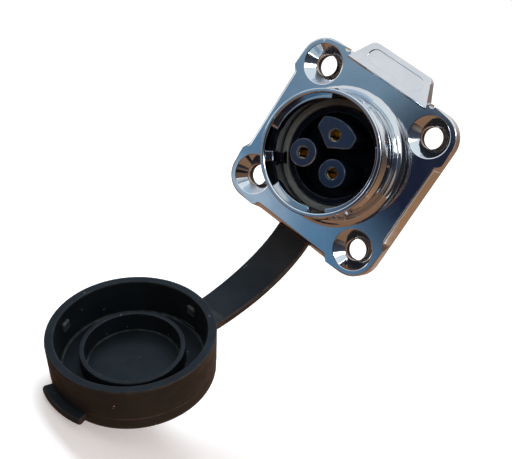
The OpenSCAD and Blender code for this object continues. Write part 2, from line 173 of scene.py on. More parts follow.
class TreeWriter:
    """Adds nodes to one shader or geometry node tree and joins them."""

    def __init__(self, tree: Tree) -> None:
        """Keeps the tree that the nodes go into."""
        self.tree = tree

    @classmethod
    def bare(cls, owner: Material | bpy.types.World) -> TreeWriter:
        """Clears the nodes of a material or a world.

        Args:
            owner: The material or world.

        Returns:
            The writer of its empty tree.
        """
        owner.use_nodes = True
        owner.node_tree.nodes.clear()
        return cls(owner.node_tree)

    def feed(self, node: Node, inputs: Feeds) -> None:
        """Links a node's inputs to other nodes' outputs, or sets their values.

        Args:
            node: The node to feed.
            inputs: Outputs or values by the input's name or number. A colour needs no alpha.
        """
        for key, value in inputs.items():
            target = node.inputs[key]
            if isinstance(value, Socket):
                self.tree.links.new(value, target)
            else:
                target.default_value = (*value, 1.0) if target.type == "RGBA" else value

    def node(self, kind: str, inputs: Feeds | None = None, **settings: object) -> Node:
        """Adds a node.

        Args:
            kind: Blender's name of the node's type.
            inputs: What its inputs are fed with.
            settings: Properties of the node itself.

        Returns:
            The new node.
        """
        node = self.tree.nodes.new(kind)
        for key, value in settings.items():
            setattr(node, key, value)
        self.feed(node, inputs or {})
        return node

    def math(self, operation: str, *values: object, clamp: bool = False) -> Socket:
        """Adds a Math node and gives its result, kept between 0 and 1 where clamp says so."""
        inputs = dict(enumerate(values))
        return self.node("ShaderNodeMath", inputs, operation=operation, use_clamp=clamp).outputs[0]

    def vector(self, operation: str, *values: object) -> Socket:
        """Adds a Vector Math node and gives its result, a vector or a number."""
        node = self.node("ShaderNodeVectorMath", dict(enumerate(values)), operation=operation)
        return node.outputs["Value" if operation in {"DOT_PRODUCT", "LENGTH"} else "Vector"]

    def scale(self, vector: object, size: float) -> Socket:
        """Adds a Vector Math node that scales a vector, and gives the result."""
        inputs = {0: vector, "Scale": size}
        return self.node("ShaderNodeVectorMath", inputs, operation="SCALE").outputs["Vector"]

    def combine(self, x: object = 0.0, y: object = 0.0, z: object = 0.0) -> Socket:
        """Adds a Combine XYZ node and gives its vector."""
        return self.node("ShaderNodeCombineXYZ", {"X": x, "Y": y, "Z": z}).outputs["Vector"]

    def mix(self, factor: object, first: object, second: object) -> Socket:
        """Adds a colour Mix node and gives its colour, the second one at a factor of one."""
        inputs = dict(zip(MIX_INPUTS, (factor, first, second)))
        return self.node("ShaderNodeMix", inputs, data_type="RGBA").outputs[MIX_RESULT]

    def spread(self, value: object, low: object, high: object, start: float, end: float) -> Socket:
        """Adds a clamped, smooth Map Range node that gives low at start and high at end."""
        inputs = {"Value": value, "From Min": start, "From Max": end, "To Min": low, "To Max": high}
        return self.node("ShaderNodeMapRange", inputs, interpolation_type="SMOOTHSTEP").outputs["Result"]

    def place(self) -> Socket:
        """Adds the piece's own coordinates."""
        return self.node("ShaderNodeTexCoord").outputs["Object"]

    def noise(self, place: Socket, scale: object, detail: float, roughness: float = 0.5) -> Node:
        """Adds a Noise Texture node."""
        inputs = {"Vector": place, "Scale": scale, "Detail": detail, "Roughness": roughness}
        return self.node("ShaderNodeTexNoise", inputs)

    def attribute(self, name: str) -> Socket:
        """Adds the value of one of the piece's attributes, which is 0 where the piece has none."""
        return self.node("ShaderNodeAttribute", attribute_name=name).outputs["Fac"]

    def group(self, tree: Tree, **values: float) -> Socket:
        """Places a shared group with its own input values and gives its output."""
        inputs = {label.capitalize(): value for label, value in values.items()}
        return self.node("ShaderNodeGroup", inputs, node_tree=tree).outputs[0]

    def bump(self, height: Socket, strength: float, depth: float) -> Socket:
        """Adds a Bump node and gives its normal."""
        inputs = {"Strength": strength, "Distance": depth, "Height": height}
        return self.node("ShaderNodeBump", inputs).outputs["Normal"]


class GroupWriter(TreeWriter):
    """Writes a node group with named float inputs and one output."""

    def __init__(self, name: str, inputs: dict[str, float], output: str) -> None:
        """Starts the group.

        Args:
            name: The group's name.
            inputs: Names and default values of its inputs.
            output: Name of its output. Geometry starts a Geometry Nodes tree, which takes geometry in too.
        """
        shapes = output == GEOMETRY
        super().__init__(bpy.data.node_groups.new(name, "GeometryNodeTree" if shapes else "ShaderNodeTree"))
        kind = "NodeSocketGeometry" if shapes else "NodeSocketFloat"
        new_socket = self.tree.interface.new_socket
        if shapes:
            new_socket(name=output, in_out="INPUT", socket_type=kind)
        for label, value in inputs.items():
            new_socket(name=label, in_out="INPUT", socket_type="NodeSocketFloat").default_value = value
        new_socket(name=output, in_out="OUTPUT", socket_type=kind)
        self.given = self.node("NodeGroupInput").outputs
        self.result = self.node("NodeGroupOutput")

    def close(self, value: Socket) -> Tree:
        """Feeds the group's output and gives the finished tree."""
        self.feed(self.result, {0: value})
        return self.tree

    def close_mesh(self, geometry: Socket, material: Material) -> Tree:
        """Ends a Geometry Nodes tree with real, painted mesh.

        Args:
            geometry: The mesh or its instances.
            material: Their material.

        Returns:
            The finished tree.
        """
        real = self.node("GeometryNodeRealizeInstances", {GEOMETRY: geometry}).outputs[GEOMETRY]
        painted = self.node("GeometryNodeSetMaterial", {GEOMETRY: real, "Material": material})
        return self.close(painted.outputs[GEOMETRY])


@cache
def surface_drift() -> Tree:
    """Builds the slow change over a surface that tints and roughens it.

    Returns:
        The group, with Scale, Low and High in and Value out.
    """
    group = GroupWriter("surface_drift", {"Scale": 100.0, "Low": 0.0, "High": 1.0}, "Value")
    given = group.given
    cloud = group.noise(group.place(), given["Scale"], 5.0, 0.58).outputs["Fac"]
    return group.close(group.spread(cloud, given["Low"], given["High"], 0.32, 0.68))


@cache
def fine_grain() -> Tree:
    """Builds the fine moulded or cast grain.

    Returns:
        The group, with Scale and Pits in and Height out.
    """
    group = GroupWriter("fine_grain", {"Scale": 2500.0, "Pits": 0.3}, "Height")
    place, scale = group.place(), group.given["Scale"]
    cells = group.node("ShaderNodeTexVoronoi", {"Vector": place, "Scale": scale}).outputs["Distance"]
    pits = group.math("MULTIPLY", group.spread(cells, 1.0, 0.0, 0.05, 0.4), group.given["Pits"])
    return group.close(group.math("SUBTRACT", group.noise(place, scale, 3.0, 0.6).outputs["Fac"], pits))


@cache
def rubbing_lines() -> Tree:
    """Builds the faint lines of handling and polishing.

    Returns:
        The group, with Scale and Stretch in and Height out.
    """
    group = GroupWriter("rubbing_lines", {"Scale": 400.0, "Stretch": 0.06}, "Height")
    turned = group.node("ShaderNodeMapping", {"Vector": group.place(), "Rotation": (0.5, 0.35, 0.8)})
    stretch = group.combine(1.0, 1.0, group.given["Stretch"])
    drawn = group.vector("MULTIPLY", turned.outputs["Vector"], stretch)
    lines = group.noise(drawn, group.given["Scale"], 4.0, 0.7).outputs["Fac"]
    return group.close(group.spread(lines, 0.0, 1.0, 0.42, 0.62))


@cache
def dust_specks() -> Tree:
    """Builds scattered specks of dust.

    Returns:
        The group, with Scale, Cover and Size in and Mask out.
    """
    group = GroupWriter("dust_specks", {"Scale": 300.0, "Cover": 0.1, "Size": 0.12}, "Mask")
    given, place = group.given, group.place()
    shift = group.scale(group.noise(place, 1400.0, 2.0).outputs["Color"], 0.0006)
    bent = group.vector("ADD", place, shift)
    cells = group.node("ShaderNodeTexVoronoi", {"Vector": bent, "Scale": given["Scale"]}).outputs
    draw = group.vector("DOT_PRODUCT", cells["Color"], (1.0, 0.0, 0.0))
    away = group.math("DIVIDE", cells["Distance"], given["Size"])
    near = group.math("SUBTRACT", 1.0, away, clamp=True)
    soft = group.math("MULTIPLY", near, 2.5, clamp=True)
    return group.close(group.math("MULTIPLY", soft, group.math("LESS_THAN", draw, given["Cover"])))


@cache
def edge_wear() -> Tree:
    """Builds the paler rounded edges, partly wear and partly painted highlight, from the piece's own
    attribute.

    Returns:
        The group, with Scale and Amount in and Mask out.
    """
    group = GroupWriter("edge_wear", {"Scale": 600.0, "Amount": 0.5}, "Mask")
    cloud = group.noise(group.place(), group.given["Scale"], 4.0).outputs["Fac"]
    broken = group.spread(cloud, 0.35, 1.0, 0.36, 0.6)
    worn_and_highlight = group.math("MULTIPLY", group.attribute(EDGE_ATTRIBUTE), broken)
    return group.close(group.math("MULTIPLY", worn_and_highlight, group.given["Amount"]))


@dataclass(frozen=True)
class Finish:
    """A surface that can be made into a material."""

    name: str

    def inputs(self, writer: TreeWriter) -> Feeds:
        """Writes the finish's nodes and gives what its Principled shader is fed with."""
        raise NotImplementedError

    def material(self) -> Material:
        """Builds the material.

        Returns:
            The material.
        """
        material = bpy.data.materials.new(self.name)
        material.use_nodes = True
        writer = TreeWriter(material.node_tree)
        writer.feed(material.node_tree.nodes["Principled BSDF"], self.inputs(writer))
        return material


@dataclass(frozen=True)
class MouldedFinish(Finish):
    """Rubber or plastic: mottled, finely grained, dusty, with paler edges that are partly wear and partly
    painted highlight, and painted shade in recesses.
    """

    base: Colour
    shade: Colour
    # Colour of the paler edges, partly wear and partly painted highlight.
    edge: Colour
    # Colour of the painted shade in recesses.
    deep: Colour = (0.0, 0.0, 0.0)
    dust: Colour = (0.3, 0.3, 0.29)
    dust_cover: float = 0.05
    dust_tint: float = 0.6
    dust_rough: float = 0.3
    rough_low: float = 0.42
    rough_high: float = 0.58
    specular: float = 0.35
    grain_scale: float = 2600.0
    grain_depth: float = 0.000012
    grain_strength: float = 0.7
    pits: float = 0.25
    edge_amount: float = 0.5
    edge_gloss: float = 0.0

    def inputs(self, writer: TreeWriter) -> Feeds:
        """Writes the moulding's nodes.

        Args:
            writer: The material's writer.

        Returns:
            What the Principled shader is fed with.
        """
        edge = writer.group(edge_wear(), scale=700.0, amount=self.edge_amount)
        dust = writer.group(dust_specks(), scale=700.0, cover=self.dust_cover, size=0.1)
        body = writer.mix(writer.group(surface_drift(), scale=120.0), self.base, self.shade)
        # The edge mask paints the paler edges, partly wear and partly painted highlight, and the recess
        # attribute paints shade in recesses.
        with_painted_shade = writer.mix(writer.attribute(RECESS_ATTRIBUTE), writer.mix(edge, body, self.edge), self.deep)
        rough = writer.group(surface_drift(), scale=330.0, low=self.rough_low, high=self.rough_high)
        grain = writer.group(fine_grain(), scale=self.grain_scale, pits=self.pits)
        gloss = writer.math("MULTIPLY", edge, self.edge_gloss)
        return {
            "Base Color": writer.mix(writer.math("MULTIPLY", dust, self.dust_tint), with_painted_shade, self.dust),
            "Roughness": writer.math("ADD", rough, writer.math("MULTIPLY", dust, self.dust_rough)),
            "Specular IOR Level": writer.math("ADD", gloss, self.specular),
            "Normal": writer.bump(grain, self.grain_strength, self.grain_depth),
        }


@dataclass(frozen=True)
class MetalFinish(Finish):
    """Drawn or plated metal: toned, waved and rubbed, brighter at the edges, partly wear and partly painted
    highlight, and thin in the holes.
    """

    light: Colour
    deep: Colour
    rough_low: float = 0.14
    rough_high: float = 0.28
    rough_scale: float = 1500.0
    tone_scale: float = 700.0
    # Colour at the edges, partly wear and partly painted highlight.
    worn_and_highlight: Colour = (0.9, 0.82, 0.62)
    edge_scale: float = 900.0
    edge_amount: float = 0.5
    thin: Colour = (0.5, 0.42, 0.37)
    thin_rough: float = 0.3
    wave_scale: float = 260.0
    wave_share: float = 0.0
    line_scale: float = 2600.0
    line_stretch: float = 0.08
    line_share: float = 1.0
    bump_strength: float = 0.5
    bump_depth: float = 0.000004

    def inputs(self, writer: TreeWriter) -> Feeds:
        """Writes the metal's nodes.

        Args:
            writer: The material's writer.

        Returns:
            What the Principled shader is fed with.
        """
        body = writer.mix(writer.group(surface_drift(), scale=self.tone_scale), self.light, self.deep)
        edge = writer.group(edge_wear(), scale=self.edge_scale, amount=self.edge_amount)
        recess = writer.attribute(RECESS_ATTRIBUTE)
        rough = writer.group(
            surface_drift(), scale=self.rough_scale, low=self.rough_low, high=self.rough_high,
        )
        lines = writer.group(rubbing_lines(), scale=self.line_scale, stretch=self.line_stretch)
        wave = writer.group(surface_drift(), scale=self.wave_scale)
        shares = ((wave, self.wave_share), (lines, self.line_share))
        height = writer.math("ADD", *(writer.math("MULTIPLY", *share) for share in shares))
        return {
            "Base Color": writer.mix(recess, writer.mix(edge, body, self.worn_and_highlight), self.thin),
            "Metallic": 1.0,
            "Roughness": writer.math("ADD", rough, writer.math("MULTIPLY", recess, self.thin_rough)),
            "Normal": writer.bump(height, self.bump_strength, self.bump_depth),
        }


def slot_materials() -> dict[Slot, Material]:
    """Builds the finish of every slot.

    Returns:
        The materials by slot. The two black rubbers share one.
    """
    finishes = {
        Slot.PLATED: MetalFinish(
            "bright_plating", (0.66, 0.69, 0.73), (0.58, 0.62, 0.67), worn_and_highlight=(0.86, 0.88, 0.9),
            rough_low=0.04, rough_high=0.1, rough_scale=420.0, tone_scale=140.0, edge_scale=500.0,
            edge_amount=0.3, wave_share=1.0, line_scale=900.0, line_stretch=0.05, line_share=0.12,
            bump_strength=0.6, bump_depth=0.0000025,
        ),
        # The insulator's deep colour is painted shade in the well behind the tower tops, and its paler edge
        # colour is a painted highlight on the rounded edges.
        Slot.INSULATOR: MouldedFinish(
            "slate_moulding", (0.015, 0.035, 0.084), (0.02, 0.046, 0.108), (0.07, 0.1, 0.15),
            deep=(0.005, 0.008, 0.015), rough_low=0.36, rough_high=0.5, specular=0.09,
            grain_depth=0.000006, edge_amount=0.9, edge_gloss=0.9,
        ),
        Slot.REAR_INSULATOR: MouldedFinish(
            "rear_moulding", (0.02, 0.022, 0.026), (0.03, 0.033, 0.038), (0.06, 0.065, 0.075),
            grain_depth=0.000008,
        ),
        Slot.INTERFACE: MouldedFinish(
            "grey_seal", (0.17, 0.175, 0.165), (0.23, 0.235, 0.22), (0.28, 0.285, 0.27),
            rough_low=0.5, rough_high=0.68,
        ),
        # The black rubber's paler edge colour, on rounded edges and the wall bumps, is partly wear and partly
        # painted highlight; it also draws the pale lines in concave corners.
        Slot.CAP_RUBBER: MouldedFinish(
            "black_rubber", (0.0055, 0.008, 0.011), (0.008, 0.0115, 0.0155), (0.085, 0.09, 0.09),
            dust=(0.5, 0.5, 0.48), dust_cover=0.16, specular=0.25,
        ),
        Slot.CONTACT: MetalFinish("gold_flash", (0.82, 0.6, 0.25), (0.62, 0.42, 0.16)),
        Slot.SPRING_STEEL: MetalFinish(
            "spring_steel", (0.5, 0.5, 0.5), (0.36, 0.36, 0.37), rough_low=0.24, rough_high=0.4,
        ),
    }
    materials = {slot: finish.material() for slot, finish in finishes.items()}
    return materials | {Slot.SEAL: materials[Slot.CAP_RUBBER]}


def metres(point: Point) -> Vector:
    """Turns a point in millimetres into a vector in metres."""
    return Vector(point) * MM


def outward(place: Vector, axis: Point) -> Vector:
    """Gives the way to a place from an axis along Y, given by its X, Z and reach in millimetres."""
    return Vector((place.x - axis[0] * MM, 0.0, place.z - axis[1] * MM))


def spoke(radius: float, angle: float, centre: Spot = (0.0, 0.0)) -> Spot:
    """Gives the point of a circle at an angle."""
    turn = math.radians(angle)
    return (centre[0] + radius * math.cos(turn), centre[1] + radius * math.sin(turn))


def arc(centre: Spot, radius: float, start: float, end: float, steps: int) -> list[Spot]:
    """Gives the points of a circular arc between two angles."""
    return [spoke(radius, start + (end - start) * step / steps, centre) for step in range(steps + 1)]


def nearest(place: Vector, start: Vector, end: Vector) -> Vector:
    """Gives the point of the stretch between two ends that is nearest to a place."""
    share = intersect_point_line(place, start, end)[1]
    return start.lerp(end, min(max(share, 0.0), 1.0))


def weld(shape: Shape, reach: float) -> None:
    """Joins the points within a reach of each other and turns the faces outward."""
    bmesh.ops.remove_doubles(shape, verts=shape.verts, dist=reach)
    bmesh.ops.recalc_face_normals(shape, faces=shape.faces)


def lathe(profile: list[Spot], steps: int) -> Shape:
    """Turns a profile about Z, with closed poles.

    Args:
        profile: Radius and height of each point, from one pole to the other.
        steps: Points round each ring.

    Returns:
        The turned shape in millimetres.
    """
    shape = bmesh.new()
    rings: list[list[bmesh.types.BMVert]] = []
    for radius, height in profile:
        spots = [spoke(radius, 360.0 * step / steps) for step in range(steps if radius > TINY else 1)]
        rings.append([shape.verts.new((x, y, height)) for x, y in spots])
    for low, high in zip(rings, rings[1:]):
        for step in range(steps):
            after = (step + 1) % steps
            pairs = ((low, step), (low, after), (high, after), (high, step))
            corners = dict.fromkeys(ring[number % len(ring)] for ring, number in pairs)
            if len(corners) > 2:
                shape.faces.new(list(corners))
    bmesh.ops.recalc_face_normals(shape, faces=shape.faces)
    return shape


def slab(outline: list[Spot], top: float, thick: float) -> Shape:
    """Raises a plan into a flat slab.

    Args:
        outline: The plan's points.
        top: Height of the slab's first face.
        thick: Its thickness.

    Returns:
        The slab in millimetres.
    """
    shape = bmesh.new()
    face = shape.faces.new([shape.verts.new((x, y, top)) for x, y in outline])
    raised = bmesh.ops.extrude_face_region(shape, geom=[face], use_keep_orig=True)
    moved = [item for item in raised["geom"] if isinstance(item, bmesh.types.BMVert)]
    bmesh.ops.translate(shape, verts=moved, vec=(0.0, 0.0, thick))
    bmesh.ops.recalc_face_normals(shape, faces=shape.faces)
    return shape


def link(name: str, data: bpy.types.ID) -> bpy.types.Object:
    """Makes an object at the origin and puts it into the scene.

    Args:
        name: The object's name.
        data: Its mesh, camera or lamp.

    Returns:
        The new object.
    """
    made = bpy.data.objects.new(name, data)
    bpy.context.scene.collection.objects.link(made)
    return made


class Piece:
    """One mesh object of the visual model, with the work that shapes and shades it."""

    def __init__(self, name: str, mesh: bpy.types.Mesh) -> None:
        """Puts the mesh into the scene under the piece's name."""
        self.object = link(name, mesh)

    @classmethod
    def of_shape(cls, name: str, shape: Shape, material: Material) -> Piece:
        """Makes a piece from a finished shape.

        Args:
            name: Name of the piece.
            shape: The shape in metres, which is freed.
            material: Its material.

        Returns:
            The new piece.
        """
        mesh = bpy.data.meshes.new(name)
        shape.to_mesh(mesh)
        shape.free()
        mesh.materials.append(material)
        return cls(name, mesh)

    @property
    def mesh(self) -> bpy.types.Mesh:
        """The piece's present mesh."""
        return self.object.data

    def freeze(self) -> None:
        """Turns the piece's modifiers into plain mesh."""
        graph = bpy.context.evaluated_depsgraph_get()
        graph.update()
        mesh = bpy.data.meshes.new_from_object(self.object.evaluated_get(graph), depsgraph=graph)
        old = self.mesh
        self.object.modifiers.clear()
        self.object.data = mesh
        bpy.data.meshes.remove(old)
        mesh.name = self.object.name

    def grow(self, tree: Tree) -> None:
        """Runs a Geometry Nodes tree on the piece and keeps the result as plain mesh."""
        self.object.modifiers.new("shape", "NODES").node_group = tree
        self.freeze()

    def bevel(self, width: float, segments: int) -> None:
        """Rounds every corner of a moulded piece.

        Args:
            width: Width of the rounding.
            segments: Steps across it.
        """
        bevel = self.object.modifiers.new("rounding", "BEVEL")
        bevel.limit_method = "ANGLE"
        bevel.angle_limit = BEVEL_TURN
        bevel.width = width * MM
        bevel.segments = segments
        self.freeze()

    def soften(self, sharp: float = 38.0) -> None:
        """Shades the piece smooth, keeps real corners sharp and weights its normals.

        Args:
            sharp: Angle from which an edge stays sharp.
        """
        self.mesh.polygons.foreach_set("use_smooth", [True] * len(self.mesh.polygons))
        self.mesh.set_sharp_from_angle(angle=math.radians(sharp))
        weighted = self.object.modifiers.new("weighted", "WEIGHTED_NORMAL")
        weighted.keep_sharp = True
        weighted.weight = 60
        self.freeze()

    def write_faces(self, name: str, values: list[float]) -> None:
        """Writes one value for each face to all its corners in an attribute."""
        spread = [float(value) for face, value in zip(self.mesh.polygons, values) for _ in face.vertices]
        self.mesh.attributes.new(name, "FLOAT", "CORNER").data.foreach_set("value", spread)

    def slim_faces(self) -> list[bool]:
        """Tells for each face whether it is narrow enough to be part of a rounded edge.

        Returns:
            One answer for each face.
        """
        slim: list[bool] = []
        for face in self.mesh.polygons:
            points = [self.mesh.vertices[vert].co for vert in face.vertices]
            longest = max((a - b).length for a, b in zip(points, points[1:] + points[:1]))
            slim.append(face.area < NARROW * longest)
        return slim

    def mark_edges(self, outer: float = 1.0, inner: float = 0.0) -> None:
        """Writes which narrow faces lie along an edge or in a corner to the edge attribute.

        Args:
            outer: Value for the faces along an outer edge.
            inner: Value for the faces in an inner corner, or nought where those don't count.
        """
        shape = bmesh.new()
        shape.from_mesh(self.mesh)
        values: list[float] = []
        for face, slim in zip(shape.faces, self.slim_faces()):
            turns = [edge.calc_face_angle_signed(0.0) for edge in face.edges] if slim else [0.0]
            share = outer if max(turns) > EDGE_TURN else 0.0
            values.append(inner if inner and min(turns) < -EDGE_TURN else share)
        shape.free()
        self.write_faces(EDGE_ATTRIBUTE, values)

    def within(self, axes: tuple[Point, ...]) -> list[bool]:
        """Tells for each face whether its middle is in reach of one of the axes along Y."""
        middles = (face.center for face in self.mesh.polygons)
        return [any(outward(middle, axis).length < axis[2] * MM for axis in axes) for middle in middles]

    def mark_recess(self, axes: tuple[Point, ...]) -> None:
        """Writes which faces are the walls of holes along Y to the recess attribute.

        Args:
            axes: X, Z and reach of each hole's axis.
        """
        faces = zip(self.mesh.polygons, self.within(axes))
        values = [inside and abs(face.normal.y) < WALL_FACING for face, inside in faces]
        self.write_faces(RECESS_ATTRIBUTE, values)

    def corner_leans(
        self, leans: dict[int, Vector], blends: Callable[[int, int, float], bool],
    ) -> dict[int, Vector]:
        """Weighs the leans of the faces that meet at each corner by area, so that flats stay flat.

        Args:
            leans: The lean of each face that takes part, by the face's number.
            blends: Tells whether two faces run into each other, from their numbers and their turn's cosine.

        Returns:
            The lean at each corner of those faces, by the corner's number.
        """
        faces = self.mesh.polygons
        beside: dict[int, list[int]] = {}
        for index in leans:
            for vert in faces[index].vertices:
                beside.setdefault(vert, []).append(index)
        found: dict[int, Vector] = {}
        for index, lean in leans.items():
            for corner, vert in zip(faces[index].loop_indices, faces[index].vertices):
                total = lean * faces[index].area
                for other in beside[vert]:
                    if other != index and blends(index, other, lean.dot(leans[other])):
                        total += leans[other] * faces[other].area
                found[corner] = total.normalized()
        return found

    def turned_faces(self, axes: tuple[Point, ...]) -> dict[Point, dict[int, Vector]]:
        """Finds the faces that were turned about axes along Y, each about the first axis in reach.

        Args:
            axes: X, Z and reach of each axis.

        Returns:
            For each axis its faces' leans, outward and along Y, by the faces' numbers.
        """
        turned: dict[Point, dict[int, Vector]] = {axis: {} for axis in axes}
        for face in self.mesh.polygons:
            near = [axis for axis in axes if TINY < outward(face.center, axis).length < axis[2] * MM]
            if not near:
                continue
            out = outward(face.center, near[0]).normalized()
            if abs(face.normal.x * out.z - face.normal.z * out.x) < ROUND_SLIP:
                lean = Vector((face.normal.dot(out), face.normal.y))
                turned[near[0]][face.index] = lean.normalized()
        return turned

    def round_normals(self, axes: tuple[Point, ...]) -> None:
        """Gives the faces turned about axes along Y exact round normals, so that plating mirrors smoothly.

        Args:
            axes: X, Z and reach of each axis.
        """
        mesh = self.mesh
        slim = self.slim_faces()

        def blends(one: int, two: int, turn: float) -> bool:
            """Tells whether two faces run into each other without a crease."""
            return turn > CREASE or (turn > SLIM_CREASE and (slim[one] or slim[two]))

        normals = self.corner_leans({face.index: face.normal.copy() for face in mesh.polygons}, blends)
        for axis, leans in self.turned_faces(axes).items():
            found = self.corner_leans(leans, blends)
            for face in (mesh.polygons[index] for index in leans):
                if abs(face.normal.y) > FLAT_FACING:
                    continue
                for corner, vert in zip(face.loop_indices, face.vertices):
                    out = outward(mesh.vertices[vert].co, axis)
                    if out.length > TINY:
                        along = Vector((0.0, found[corner].y, 0.0))
                        normals[corner] = out.normalized() * found[corner].x + along
        mesh.normals_split_custom_set([normals[corner] for corner in range(len(mesh.loops))])

    def finish(self, body: Body, slot: Slot, *parts: Part) -> None:
        """Ties the piece to its body and hides the CAD nodes that it stands for.

        Args:
            body: The body that it rides on.
            slot: Not used.
            parts: The CAD nodes that it replaces.
        """
        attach(self.object, body.value)
        if parts:
            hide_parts(*[part.value for part in parts])
        LOG.info("%s: %d faces on %s", self.object.name, len(self.mesh.polygons), body.value)


@dataclass(frozen=True)
class Workshop:
    """What every sub-assembly is built from: the CAD nodes' objects and the slots' materials."""

    nodes: dict[str, bpy.types.Object]
    materials: dict[Slot, Material]


@dataclass(frozen=True)
class Rounding:
    """How the outer edges of a CAD node's copy are rounded.

    Attributes:
        width: Width of the rounding.
        segments: Steps across it.
        floor: Length under which an edge beside a corner keeps the corner sharp.
        rim: Tells whether a point lies on an edge that is rounded more than the others.
        rim_width: Width of that rounding.
    """

    width: float
    segments: int = 2
    floor: float = 0.0
    rim: Callable[[Vector], bool] | None = None
    rim_width: float = 0.0

    def corners(self, shape: Shape, spared: list[Vector], reach: float) -> list[bmesh.types.BMEdge]:
        """Finds the outer edges that can be rounded.

        Args:
            shape: The merged shape.
            spared: Places where edges stay sharp.
            reach: How near such a place an edge has to come, in metres.

        Returns:
            The edges to round.
        """
        found: list[bmesh.types.BMEdge] = []
        for edge in shape.edges:
            if len(edge.link_faces) != 2 or edge.calc_face_angle_signed(0.0) < CORNER_TURN:
                continue
            sides = [side for vert in edge.verts for side in vert.link_edges if side is not edge]
            short = [side for side in sides if side.calc_length() < self.floor * MM]
            inside = (side.calc_face_angle_signed(0.0) for side in short if len(side.link_faces) == 2)
            if any(turn < CORNER_TURN for turn in inside):
                continue
            start, end = (vert.co for vert in edge.verts)
            if all((place - nearest(place, start, end)).length > reach for place in spared):
                found.append(edge)
        return found

    @staticmethod
    def folds(shape: Shape) -> list[Vector]:
        """Finds where a shape's faces fold back on each other.

        Args:
            shape: The shape to look through.

        Returns:
            The folded edges' ends and middles.
        """
        places: list[Vector] = []
        for edge in shape.edges:
            if len(edge.link_faces) == 2 and edge.calc_face_angle(0.0) > FOLD_TURN:
                start, end = (vert.co.copy() for vert in edge.verts)
                places += [start, end, (start + end) / 2]
        return places

    def round(self, shape: Shape, spared: list[Vector]) -> int:
        """Rounds a shape's edges, those of the rim first.

        Args:
            shape: The merged shape.
            spared: Places where edges stay sharp.

        Returns:
            How many edges were rounded after the rim.
        """
        passes = [(self.rim_width, RIM_STEPS, self.rim)] if self.rim else []
        count = 0
        for width, steps, chosen in (*passes, (self.width, self.segments, None)):
            edges = self.corners(shape, spared, 2.0 * width * MM)
            if chosen:
                edges = [edge for edge in edges if all(chosen(vert.co / MM) for vert in edge.verts)]
            count = len(edges)
            bmesh.ops.bevel(
                shape, geom=edges, offset=width * MM, offset_type="OFFSET", segments=steps, profile=0.5,
                affect="EDGES", clamp_overlap=False, loop_slide=True,
            )
        return count

    def copy(self, shop: Workshop, part: Part, name: str, slot: Slot) -> Piece:
        """Copies a CAD node, merges its triangles and rounds its outer edges, except where that would fold.

        Args:
            shop: The CAD nodes and the materials.
            part: The node to copy.
            name: Name of the new piece.
            slot: The slot that gives its material.

        Returns:
            The rounded piece.
        """
        merged = bmesh.new()
        merged.from_mesh(shop.nodes[part.value].data)
        bmesh.ops.remove_doubles(merged, verts=merged.verts, dist=WELD_REACH)
        bmesh.ops.dissolve_limit(
            merged, angle_limit=MERGE_TURN, use_dissolve_boundaries=False,
            verts=merged.verts, edges=merged.edges,
        )
        spared: list[Vector] = []
        for attempt in range(FOLD_TRIES):
            shape = merged.copy()
            count = self.round(shape, spared)
            folded = self.folds(shape)
            LOG.info("%s: try %d rounds %d edges, %d folds", name, attempt, count, len(folded) // 3)
            if not folded or attempt == FOLD_TRIES - 1:
                break
            spared += folded
            shape.free()
        merged.free()
        bmesh.ops.dissolve_degenerate(shape, dist=SLIVER_REACH, edges=shape.edges)
        piece = Piece.of_shape(name, shape, shop.materials[slot])
        # Outer edges take the paler edge colour, partly wear and partly painted highlight.
        piece.mark_edges()
        piece.soften()
        return piece


@dataclass
class PlatedShell:
    """The plated casting: flange, label tab, barrel and spigot."""

    shop: Workshop
    rounding: float = 0.11
    segments: int = 2
    floor: float = 0.1
    hole_half: float = 13.0
    hole_reach: float = 4.4
    barrel_reach: float = 14.2
    rim_rounding: float = 0.35
    rim_start: float = 14.5
    front: float = -3.0
    front_slack: float = 0.02

    def holes(self) -> tuple[Point, ...]:
        """Gives the axes of the four countersinks, each with its reach."""
        return tuple((x * self.hole_half, z * self.hole_half, self.hole_reach) for x, z in SQUARE)

    def on_rim(self, point: Vector) -> bool:
        """Tells whether a point lies on the flange's outer front edge, which is rounded more.

        Args:
            point: The point in millimetres.

        Returns:
            True for a point on that edge.
        """
        clear = all(math.hypot(point.x - x, point.z - z) > reach for x, z, reach in self.holes())
        outer = max(abs(point.x), abs(point.z)) > self.rim_start
        return clear and outer and abs(point.y - self.front) < self.front_slack

    def build(self) -> None:
        """Builds and dresses the shell."""
        rounding = Rounding(self.rounding, self.segments, self.floor, self.on_rim, self.rim_rounding)
        shell = rounding.copy(self.shop, Part.SHELL, "shell_plated", Slot.PLATED)
        shell.round_normals((*self.holes(), (0.0, 0.0, self.barrel_reach)))
        shell.mark_recess(self.holes())
        shell.finish(Body.SOCKET, Slot.PLATED, Part.SHELL)


